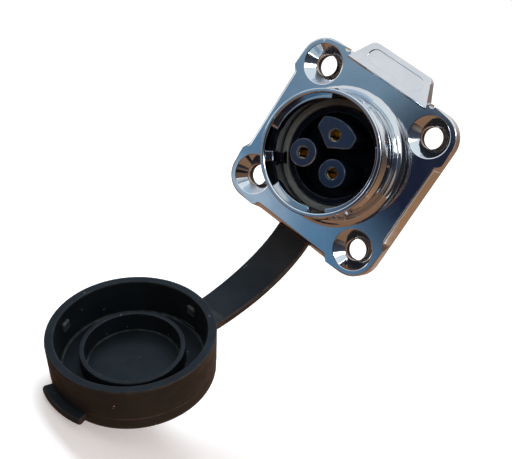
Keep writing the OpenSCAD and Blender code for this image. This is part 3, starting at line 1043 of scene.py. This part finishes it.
@dataclass
class ContactBlock:
    """The insulators, seals, spring ring and three contacts inside the shell."""

    shop: Workshop
    moulding_round: float = 0.12
    tower_round: float = 0.22
    # Depth below the tower tops from which the insulator is drawn darker, as painted shade.
    tower_lip: float = 0.4
    contact_round: float = 0.06
    seal_round: float = 0.15
    tower_top: float = 10.7
    circle_r: float = 4.12
    contact_angles: tuple[float, ...] = (90.0, 210.0, 330.0)
    lip_inner: float = 1.15
    lip_outer: float = 1.72
    lip_depth: float = 0.6
    lip_round: float = 0.14
    lip_proud: float = 0.015
    lip_edge: float = 0.035
    lip_step: float = 0.32
    lip_weld: float = 0.001
    steps: int = 64

    def lips(self) -> Piece:
        """Builds the narrow entries at the tower tops, one ring over each contact.

        Returns:
            The three rings as one piece.
        """
        top = self.tower_top + self.lip_proud
        neck = self.lip_outer - self.lip_step
        inner, r = self.lip_inner, self.lip_round
        low, edge = top - self.lip_depth, top - self.lip_edge
        profile = (
            [(neck, low), (inner, low)]
            + arc((inner + r, top - r), r, 180, 90, 5)
            + [(self.lip_outer, top), (self.lip_outer, edge), (neck, edge - self.lip_step), (neck, low)]
        )
        centres = [spoke(self.circle_r, angle) for angle in self.contact_angles]
        rings = bmesh.new()
        for x, z in centres:
            ring = lathe(profile, self.steps)
            weld(ring, self.lip_weld)
            ring.transform(Matrix.Scale(MM, 4) @ Matrix.Translation((x, 0.0, z)) @ FACING)
            mesh = bpy.data.meshes.new("ring")
            ring.to_mesh(mesh)
            ring.free()
            rings.from_mesh(mesh)
            bpy.data.meshes.remove(mesh)
        piece = Piece.of_shape("tower_lips", rings, self.shop.materials[Slot.INSULATOR])
        # The rounding at each hole's edge takes the paler edge colour as a painted highlight.
        piece.write_faces(EDGE_ATTRIBUTE, piece.within(tuple((x, z, inner + r) for x, z in centres)))
        piece.soften()
        return piece

    def build(self) -> None:
        """Builds and dresses every piece of the block."""
        pieces = (
            (Part.FRONT_INSULATOR, "towers_moulding", self.tower_round, Slot.INSULATOR),
            (Part.REAR_INSULATOR, "rear_disc", self.moulding_round, Slot.REAR_INSULATOR),
            (Part.RING, "spring_ring", self.contact_round, Slot.SPRING_STEEL),
            (Part.INSULATOR_SEAL, "round_seal", self.contact_round, Slot.SEAL),
            (Part.INTERFACE_SEAL, "flat_seal", self.seal_round, Slot.INTERFACE),
            (Part.EARTH, "earth_spring", self.contact_round, Slot.CONTACT),
            (Part.LINE, "line_spring", self.contact_round, Slot.CONTACT),
            (Part.NEUTRAL, "neutral_spring", self.contact_round, Slot.CONTACT),
        )
        for part, name, width, slot in pieces:
            piece = Rounding(width).copy(self.shop, part, name, slot)
            if part is Part.FRONT_INSULATOR:
                # Painted shade: the insulator's faces behind the tower tops take the darker deep colour.
                depth = (self.tower_lip - self.tower_top) * MM
                piece.write_faces(RECESS_ATTRIBUTE, [face.center.y > depth for face in piece.mesh.polygons])
            piece.finish(Body.SOCKET, slot, part)
        self.lips().finish(Body.SOCKET, Slot.INSULATOR)


@dataclass
class Gasket:
    """The flat rubber sheet behind the flange."""

    shop: Workshop
    rounding: float = 0.22
    segments: int = 3

    def build(self) -> None:
        """Builds and dresses the gasket."""
        rounding = Rounding(self.rounding, self.segments)
        sheet = rounding.copy(self.shop, Part.GASKET, "gasket_sheet", Slot.CAP_RUBBER)
        sheet.finish(Body.SOCKET, Slot.CAP_RUBBER, Part.GASKET)


@dataclass
class CapSwing:
    """Where the open cap hangs, by its flex line and turn from closed, and how the strap meets it."""

    point: Point = (0.0, -9.2, -28.3)
    yaw: float = 9.1
    tilt: float = -1.0
    opened: float = 124.8
    rim: float = 6.3
    strap_w: float = 7.6
    strap_t: float = 1.6
    stub_y: float = -16.5
    stub_drop: float = 7.2

    def axis(self) -> Vector:
        """Gives the flex line's direction."""
        yaw, tilt = math.radians(self.yaw), math.radians(self.tilt)
        return Vector((-math.cos(tilt) * math.cos(yaw), math.cos(tilt) * math.sin(yaw), math.sin(tilt)))

    def matrix(self) -> Matrix:
        """Gives the change from the cap's own millimetres to the frame's metres.

        Returns:
            The matrix, with the cap's z running down from its rim to its base.
        """
        point = Vector(self.point)
        swing = Matrix.Rotation(math.radians(-self.opened), 4, self.axis())
        lift = Matrix.Translation((0.0, 0.0, self.rim))
        hinge = Matrix.Translation(point) @ swing @ Matrix.Translation(-point)
        return Matrix.Scale(MM, 4) @ hinge @ FACING @ lift


@dataclass
class WallBumps:
    """The rounded bumps on the cap's inner wall, copied round it with Geometry Nodes."""

    count: int = 3
    first_angle: float = 33.0
    width: float = 1.9
    stand: float = 0.7
    root: float = 0.3
    drop: float = 2.9
    round_r: float = 0.28
    cuts: int = 12
    # How strongly the bumps take the paler edge colour all over, partly wear and partly painted highlight.
    rub_and_highlight: float = 2.0

    def tree(self, wall_r: float, material: Material) -> Tree:
        """Builds the tree in the cap's own millimetres.

        Args:
            wall_r: Radius of the wall that the bumps stand on.
            material: The bumps' material.

        Returns:
            The tree, with Radius, Drop, Width and Stand in.
        """
        radius, stand = wall_r - self.stand / 2 + self.root / 2, self.stand + self.root
        sizes = {"Radius": radius, "Drop": self.drop, "Width": self.width, "Stand": stand}
        group = GroupWriter("wall_bumps", sizes, GEOMETRY)
        given = group.given
        size = group.combine(given["Stand"], given["Width"], given["Width"])
        cuts = {f"Vertices {axis}": self.cuts for axis in "XYZ"}
        cube = group.node("GeometryNodeMeshCube", {"Size": size, **cuts})
        core = group.vector("SUBTRACT", group.scale(size, 0.5), (self.round_r,) * 3)
        place = group.node("GeometryNodeInputPosition").outputs["Position"]
        back = group.vector("SUBTRACT", (0.0, 0.0, 0.0), core)
        held = group.vector("MINIMUM", group.vector("MAXIMUM", place, back), core)
        away = group.vector("NORMALIZE", group.vector("SUBTRACT", place, held))
        swell = group.vector("ADD", held, group.scale(away, self.round_r))
        rounded = group.node("GeometryNodeSetPosition", {GEOMETRY: cube.outputs["Mesh"], "Position": swell})
        index = group.node("GeometryNodeInputIndex").outputs["Index"]
        step = group.math("MULTIPLY", index, 2.0 * math.pi / self.count)
        turn = group.math("ADD", step, math.radians(self.first_angle))
        x, y = (group.math("MULTIPLY", group.math(way, turn), given["Radius"]) for way in ("COSINE", "SINE"))
        spot = group.combine(x, y, given["Drop"])
        points = group.node("GeometryNodePoints", {"Count": self.count, "Position": spot}).outputs[0]
        copies = group.node(
            "GeometryNodeInstanceOnPoints",
            {"Points": points, "Instance": rounded.outputs[GEOMETRY], "Rotation": group.combine(z=turn)},
        )
        return group.close_mesh(copies.outputs["Instances"], material)


@dataclass
class DustCap:
    """The rubber cap: turned body with plug ring, wall bumps, pull tab and the strap's stub."""

    shop: Workshop
    swing: CapSwing = field(default_factory=CapSwing)
    bumps: WallBumps = field(default_factory=WallBumps)
    bore_r: float = 13.65
    bore_taper: float = 0.5
    outer_r: float = 15.3
    waist_r: float = 15.1
    depth: float = 7.6
    shelf: float = 7.0
    height: float = 9.8
    seam: float = 6.65
    seam_half: float = 0.12
    seam_depth: float = 0.2
    base_mid: float = 6.0
    base_round: float = 1.3
    floor_mid: float = 3.0
    floor_margin: float = 0.35
    floor_round: float = 0.4
    lip_round: float = 0.3
    ring_inner: float = 8.65
    ring_outer: float = 9.6
    ring_drop: float = 3.65
    ring_round: float = 0.25
    corner_round: float = 0.15
    wall_shares: tuple[float, ...] = (0.33, 0.66)
    pull_half_angle: float = 20.0
    pull_reach: float = 1.9
    pull_corner: float = 0.7
    pull_top: float = 6.9
    pull_t: float = 1.4
    pull_round: float = 0.45
    stub_root: float = -12.9
    stub_round: float = 0.3
    # Share of the paler edge colour on rounded edges, partly wear and partly painted highlight.
    edge_rub_and_highlight: float = 0.25
    # Share of the paler edge colour that draws pale lines in the cap's concave corners.
    corner_pale: float = 1.0
    steps: int = 192

    def profile(self) -> list[Spot]:
        """Gives the turned profile, from the floor's centre round the rim to the base's centre.

        Returns:
            Radius and depth of each point.
        """
        r, lip, nook = self.ring_round, self.lip_round, self.corner_round
        floor_r = self.bore_r - self.bore_taper
        low = self.waist_r - self.seam_depth / 2
        seam_top = self.seam - self.seam_half
        wall = [
            (self.outer_r + (self.waist_r - self.outer_r) * share, lip + (seam_top - lip) * share)
            for share in self.wall_shares
        ]
        return (
            [(radius, self.depth) for radius in (0.0, self.floor_mid, self.ring_inner - self.floor_margin)]
            + arc((self.ring_inner - nook, self.depth - nook), nook, 90, 0, 3)
            + arc((self.ring_inner + r, self.ring_drop + r), r, 180, 270, 5)
            + arc((self.ring_outer - r, self.ring_drop + r), r, 270, 360, 5)
            + arc((self.ring_outer + nook, self.shelf - nook), nook, 180, 90, 3)
            + arc((floor_r - self.floor_round, self.shelf - self.floor_round), self.floor_round, 90, 0, 5)
            + arc((self.bore_r + lip, lip), lip, 180, 270, 6)
            + arc((self.outer_r - lip, lip), lip, 270, 360, 6)
            + wall
            + [(self.waist_r, seam_top), (self.waist_r - self.seam_depth, self.seam)]
            + [(low, self.seam + self.seam_half)]
            + arc((low - self.base_round, self.height - self.base_round), self.base_round, 0, 90, 12)
            + [(self.base_mid, self.height), (0.0, self.height)]
        )

    def pull_outline(self) -> list[Spot]:
        """Gives the pull tab's plan, a curved strip with round outer corners.

        Returns:
            The outline's points.
        """
        outer = self.waist_r + self.pull_reach
        half = self.pull_half_angle
        hub = outer - self.pull_corner
        lean = math.degrees(math.asin(self.pull_corner / hub))
        first, last = 90 - half + lean, 90 + half - lean
        return (
            arc(spoke(hub, first), self.pull_corner, -half, first, 8)
            + arc((0.0, 0.0), outer, first, last, 20)[1:-1]
            + arc(spoke(hub, last), self.pull_corner, last, 180 + half, 8)
            + arc((0.0, 0.0), self.waist_r - self.base_round, 90 + half, 90 - half, 20)
        )

    def stub(self) -> Shape:
        """Gives the stub that the strap grows out of.

        Returns:
            The stub in the cap's own millimetres.
        """
        swing = self.swing
        half = swing.strap_w / 2
        plan = [(-half, swing.stub_y), (half, swing.stub_y), (half, self.stub_root), (-half, self.stub_root)]
        return slab(plan, swing.stub_drop - swing.strap_t / 2, swing.strap_t)

    def moulded(self, name: str, shape: Shape, material: Material) -> Piece:
        """Makes a piece from a shape in the cap's own millimetres."""
        shape.transform(self.swing.matrix())
        return Piece.of_shape(name, shape, material)

    def build(self) -> None:
        """Builds and dresses the cap."""
        rubber = self.shop.materials[Slot.CAP_RUBBER]
        body = self.moulded("cap_body", lathe(self.profile(), self.steps), rubber)
        # Rounded edges are drawn paler, partly wear and partly painted highlight, and concave corners get
        # pale lines.
        body.mark_edges(self.edge_rub_and_highlight, self.corner_pale)
        bumps = Piece("cap_bumps", bpy.data.meshes.new("cap_bumps"))
        bumps.grow(self.bumps.tree(self.bore_r, rubber))
        bumps.mesh.transform(self.swing.matrix())
        # The bumps are drawn paler all over, partly wear and partly painted highlight.
        bumps.write_faces(EDGE_ATTRIBUTE, [self.bumps.rub_and_highlight] * len(bumps.mesh.polygons))
        tab = self.moulded("cap_pull_tab", slab(self.pull_outline(), self.pull_top, self.pull_t), rubber)
        tab.bevel(self.pull_round, 4)
        stub = self.moulded("cap_stub", self.stub(), rubber)
        stub.bevel(self.stub_round, 3)
        # The tab's and stub's rounded edges are drawn paler, partly wear and partly painted highlight.
        for piece in (tab, stub):
            piece.mark_edges(self.edge_rub_and_highlight)
        for piece in (body, bumps, tab, stub):
            piece.soften(RUBBER_SHARP)
            piece.finish(Body.CAP, Slot.CAP_RUBBER, *([Part.CAP] if piece is body else []))


@dataclass
class TetherStrap:
    """The rubber strap, a rounded section swept along its curve with Geometry Nodes."""

    shop: Workshop
    swing: CapSwing = field(default_factory=CapSwing)
    edge: float = 0.35
    edge_steps: int = 5
    # Share of the paler edge colour on the strap's rounded edges, partly wear and partly painted highlight.
    edge_rub_and_highlight: float = 0.4
    start: Point = (0.0, 0.8, -18.65)
    root_pull: float = 10.5
    cap_pull: float = 4.0
    rings: int = 96
    ring_weld: float = 0.001
    bend_start: Point = (0.01, 0.14, -22.57)
    bend_end: Point = (0.1, -11.91, -35.56)

    def path(self) -> tuple[list[Vector], list[Vector]]:
        """Gives the centre line and the flat side's direction along it.

        Returns:
            The points and the normals, in metres.
        """
        matrix = self.swing.matrix()
        turn = matrix.to_3x3()
        side = (turn @ Vector((1.0, 0.0, 0.0))).normalized()
        out = (turn @ Vector((0.0, -1.0, 0.0))).normalized()
        last = matrix @ Vector((0.0, self.swing.stub_y, self.swing.stub_drop))
        first = metres(self.start)
        a, b, c, d = first, first + metres((0.0, 0.0, -self.root_pull)), last + out * self.cap_pull * MM, last
        points: list[Vector] = []
        normals: list[Vector] = []
        for ring in range(self.rings + 1):
            t = ring / self.rings
            u = 1.0 - t
            points.append(a * u**3 + b * 3 * u * u * t + c * 3 * u * t * t + d * t**3)
            along = ((b - a) * u * u + (c - b) * 2 * u * t + (d - c) * t * t).normalized()
            lean = Vector((1.0, 0.0, 0.0)).lerp(side, t * t * (3.0 - 2.0 * t))
            across = (lean - along * along.dot(lean)).normalized()
            normals.append(across.cross(along))
        return points, normals

    def tree(self) -> Tree:
        """Builds the sweep's tree.

        Returns:
            The tree, with Width, Thick and Edge in metres.
        """
        sizes = {"Width": self.swing.strap_w * MM, "Thick": self.swing.strap_t * MM, "Edge": self.edge * MM}
        group = GroupWriter("strap_sweep", sizes, GEOMETRY)
        given = group.given
        curve = group.node("GeometryNodeMeshToCurve", {"Mesh": given[GEOMETRY]}).outputs["Curve"]
        name = {"Name": NORMAL_ATTRIBUTE}
        flat = group.node("GeometryNodeInputNamedAttribute", name, data_type="FLOAT_VECTOR")
        turn = {"Curve": curve, "Normal": flat.outputs["Attribute"]}
        turned = group.node("GeometryNodeSetCurveNormal", turn, mode="FREE").outputs["Curve"]
        size = {"Width": given["Thick"], "Height": given["Width"]}
        plan = group.node("GeometryNodeCurvePrimitiveQuadrilateral", size).outputs["Curve"]
        fillet = {"Curve": plan, "Radius": given["Edge"], "Count": self.edge_steps, "Limit Radius": True}
        section = group.node("GeometryNodeFilletCurve", fillet, mode="POLY").outputs["Curve"]
        sweep = {"Curve": turned, "Profile Curve": section, "Fill Caps": True}
        mesh = group.node("GeometryNodeCurveToMesh", sweep).outputs["Mesh"]
        return group.close_mesh(mesh, self.shop.materials[Slot.CAP_RUBBER])

    def build(self) -> None:
        """Builds and dresses the strap between the socket and the cap."""
        points, normals = self.path()
        mesh = bpy.data.meshes.new("strap")
        mesh.from_pydata(points, [(ring, ring + 1) for ring in range(self.rings)], [])
        layer = mesh.attributes.new(NORMAL_ATTRIBUTE, "FLOAT_VECTOR", "POINT")
        layer.data.foreach_set("vector", [value for normal in normals for value in normal])
        strap = Piece("strap", mesh)
        strap.grow(self.tree())
        shape = bmesh.new()
        shape.from_mesh(strap.mesh)
        weld(shape, self.ring_weld * MM)
        shape.to_mesh(strap.mesh)
        shape.free()
        # The strap's rounded edges are drawn paler, partly wear and partly painted highlight.
        strap.mark_edges(self.edge_rub_and_highlight)
        strap.soften(RUBBER_SHARP)
        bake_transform(strap.object)
        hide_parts(Part.STRAP.value)
        LOG.info("strap: %d faces between the socket and the cap", len(strap.mesh.polygons))


@dataclass(frozen=True)
class GlossCard:
    """A soft-edged studio card that only shows in reflections."""

    name: str
    centre: Point
    across: Point
    upward: Point
    low: Colour
    high: Colour
    fade: float

    def build(self) -> None:
        """Builds the card and marks it as stage."""
        centre, across, upward = (metres(point) for point in (self.centre, self.across, self.upward))
        mesh = bpy.data.meshes.new(self.name)
        mesh.from_pydata([centre + across * a + upward * b for a, b in SQUARE], [], [(0, 1, 2, 3)])
        for loop, place in zip(mesh.uv_layers.new(name=CARD_MAP).data, SQUARE):
            loop.uv = place
        mesh.materials.append(self.material())
        card = link(self.name, mesh)
        for kind in ("camera", "diffuse", "transmission", "shadow"):
            setattr(card, f"visible_{kind}", False)
        card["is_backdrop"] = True

    def material(self) -> Material:
        """Builds the card's glow.

        Returns:
            The material, clear towards the card's edges.
        """
        material = bpy.data.materials.new(self.name)
        writer = TreeWriter.bare(material)
        place = writer.node("ShaderNodeUVMap", uv_map=CARD_MAP).outputs["UV"]
        height = writer.spread(writer.vector("DOT_PRODUCT", place, (0.0, 1.0, 0.0)), 0.0, 1.0, -0.8, 0.8)
        colour = writer.mix(height, self.low, self.high)
        glow = writer.node("ShaderNodeEmission", {"Color": colour, "Strength": 1.0}).outputs[0]
        clear = writer.node("ShaderNodeBsdfTransparent").outputs[0]
        away = writer.spread(writer.vector("LENGTH", place), 0.0, 1.0, self.fade, 1.0)
        blend = writer.node("ShaderNodeMixShader", {0: away, 1: glow, 2: clear})
        writer.node("ShaderNodeOutputMaterial", {"Surface": blend.outputs[0]})
        return material


@dataclass
class Studio:
    """The floor, the world, the lamps, the cards and the photograph's camera."""

    focal_px: float = 985.66
    position: Point = (63.2, -182.3, 28.7)
    forward: Point = (-0.348, 0.902, -0.254)
    upward: Point = (-0.583, 0.004, 0.812)
    floor_half: float = 6000.0
    floor_gap: float = 0.3
    floor_glow: float = 0.32
    bounce: Colour = (0.3, 0.19, 0.13)
    ambient: float = 0.3

    def camera(self) -> None:
        """Places the camera at the photograph's view."""
        data = bpy.data.cameras.new("photo_view")
        data.sensor_fit = "HORIZONTAL"
        data.sensor_width = SENSOR_WIDTH
        data.lens = self.focal_px * SENSOR_WIDTH / PHOTO_WIDTH
        data.clip_start = 0.005
        data.clip_end = 20.0
        camera = link("photo_view", data)
        back = -Vector(self.forward).normalized()
        right = Vector(self.upward).cross(back).normalized()
        turn = Matrix((right, back.cross(right), back)).transposed().to_4x4()
        camera.matrix_world = Matrix.Translation(metres(self.position)) @ turn
        bpy.context.scene.camera = camera

    def floor(self, low: float) -> None:
        """Builds the pale floor, which throws a warm light back at the object.

        Args:
            low: The object's lowest height in metres.
        """
        shape = bmesh.new()
        bmesh.ops.create_grid(shape, x_segments=1, y_segments=1, size=self.floor_half * MM)
        bmesh.ops.translate(shape, verts=shape.verts, vec=(0.0, 0.0, low - self.floor_gap * MM))
        material = bpy.data.materials.new("pale_floor")
        writer = TreeWriter.bare(material)
        place = writer.place()
        cloud = writer.noise(place, 3.0, 2.0).outputs["Fac"]
        pale = writer.mix(cloud, (0.9, 0.9, 0.9), (0.94, 0.94, 0.94))
        path = writer.node("ShaderNodeLightPath").outputs
        seen = writer.math("MAXIMUM", path["Is Camera Ray"], path["Is Glossy Ray"])
        matt = writer.node("ShaderNodeBsdfDiffuse", {"Color": writer.mix(seen, self.bounce, pale)})
        near = writer.spread(writer.vector("LENGTH", place), self.floor_glow, 1.0, 0.12, 0.45)
        strength = writer.math("MULTIPLY", seen, near)
        glow = writer.node("ShaderNodeEmission", {"Color": WHITE, "Strength": strength})
        both = writer.node("ShaderNodeAddShader", {0: matt.outputs[0], 1: glow.outputs[0]})
        writer.node("ShaderNodeOutputMaterial", {"Surface": both.outputs[0]})
        Piece.of_shape("floor", shape, material).object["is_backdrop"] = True

    def world(self) -> None:
        """Lights the scene softly and shows white behind it."""
        world = bpy.data.worlds.new("soft_room")
        bpy.context.scene.world = world
        writer = TreeWriter.bare(world)
        path = writer.node("ShaderNodeLightPath").outputs
        direct = writer.math("MAXIMUM", path["Is Camera Ray"], path["Is Glossy Ray"])
        seen = writer.math("MAXIMUM", direct, path["Is Transmission Ray"])
        strength = writer.math("ADD", self.ambient, writer.math("MULTIPLY", seen, 1.0 - self.ambient))
        sky = writer.node("ShaderNodeBackground", {"Color": WHITE, "Strength": strength})
        writer.node("ShaderNodeOutputWorld", {"Surface": sky.outputs[0]})

    @staticmethod
    def lamp(name: str, place: Point, aim: Point, size: float, power: float, colour: Colour) -> None:
        """Adds a soft area lamp that doesn't show in reflections.

        Args:
            name: The lamp's name.
            place: Where it stands.
            aim: The point that it faces.
            size: Its side.
            power: Its power in watts.
            colour: Its colour.
        """
        data = bpy.data.lights.new(name, "AREA")
        data.size = size * MM
        data.energy = power
        data.color = colour
        lamp = link(name, data)
        lamp.location = metres(place)
        lamp.rotation_euler = (metres(aim) - metres(place)).to_track_quat("-Z", "Y").to_euler()
        lamp.visible_glossy = False

    def cards(self, low: float) -> None:
        """Places the cards that the plating mirrors.

        Args:
            low: The object's lowest height in metres.
        """
        table = low / MM - self.floor_gap / 2
        spark, dusk = (11.0, 11.6, 12.0), (0.03, 0.024, 0.022)
        specs = (
            ("front", (-48, -125, -20), (68, 0, 0), (0, 0, 48), (0.12, 0.26, 0.42), (0.25, 0.37, 0.47), 0.7),
            ("navy", (-13, -122, -8), (36, 0, 0), (0, 0, 44),
             (0.012, 0.016, 0.04), (0.02, 0.026, 0.05), 0.25),
            ("low", (-62, -119, -45), (31, 0, 0), (0, 0, 12), (0.5, 0.62, 0.72), (0.42, 0.56, 0.7), 0.1),
            ("dark", (60, -118, 20), (80, 0, 0), (0, 0, 80), dusk, (0.02, 0.024, 0.036), 0.65),
            ("dusk", (22, -117, -44), (34, 0, 0), (0, 0, 24), dusk, (0.02, 0.02, 0.03), 0.5),
            ("right", (230, 0, 0), (0, 90, 0), (0, 0, 110), (0.34, 0.22, 0.15), (0.5, 0.42, 0.36), 0.5),
            ("shade", (236, -120, 60), (0, 180, 0), (0, 0, 190),
             (0.03, 0.025, 0.025), (0.07, 0.085, 0.12), 0.75),
            ("left", (-230, 60, 0), (0, 160, 0), (0, 0, 110), (0.03, 0.028, 0.03), (0.05, 0.055, 0.07), 0.5),
            ("pale", (-75, 112, 20), (110, 0, 0), (0, 0, 90), (0.8, 0.69, 0.6), (0.86, 0.8, 0.74), 0.7),
            ("back", (160, 110, 10), (190, 0, 0), (0, 0, 170), (0.52, 0.28, 0.14), (0.08, 0.065, 0.06), 0.6),
            ("table", (20, -50, table), (300, 0, 0), (0, 230, 0),
             (0.24, 0.13, 0.075), (0.36, 0.2, 0.12), 0.75),
            ("sky", (-170, 40, 180), (0, 260, 0), (130, 0, 130), (0.4, 0.56, 0.74), (0.55, 0.7, 0.86), 0.5),
            ("spark", (150, -105, 180), (24, 38, 0), (-26, 17, 31), spark, spark, 0.6),
            ("above", (-30, -90, 260), (210, 0, 0), (0, 200, 0), (0.98, 1.08, 1.1), (0.9, 1.0, 1.04), 0.6),
        )
        for name, *values in specs:
            GlossCard(f"card_{name}", *values).build()

    def build(self, low: float) -> None:
        """Builds the whole studio.

        Args:
            low: The object's lowest height in metres.
        """
        bpy.context.scene.view_settings.view_transform = "Standard"
        self.camera()
        self.floor(low)
        self.world()
        self.lamp("lamp_key", (-240, 60, 300), (0, -20, -30), 200.0, 1.7, (0.86, 0.94, 1.0))
        self.lamp("lamp_fill", (120, -260, 200), (0, -10, -10), 260.0, 0.3, (0.92, 0.96, 1.0))
        self.lamp("lamp_table", (200, -60, -56), (0, -34, -46), 30.0, 1.25, (1.0, 0.42, 0.18))
        self.cards(low)


def main() -> None:
    """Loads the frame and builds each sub-assembly."""
    logging.basicConfig(level=logging.INFO, format="%(name)s: %(message)s")
    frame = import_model()
    cad_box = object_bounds()
    shop = Workshop(frame["nodes"], slot_materials())
    Studio().build(cad_box[0][2])
    for assembly in (PlatedShell, ContactBlock, Gasket, TetherStrap, DustCap):
        LOG.info("building %s", assembly.__name__)
        assembly(shop).build()


if __name__ == "__main__":
    main()
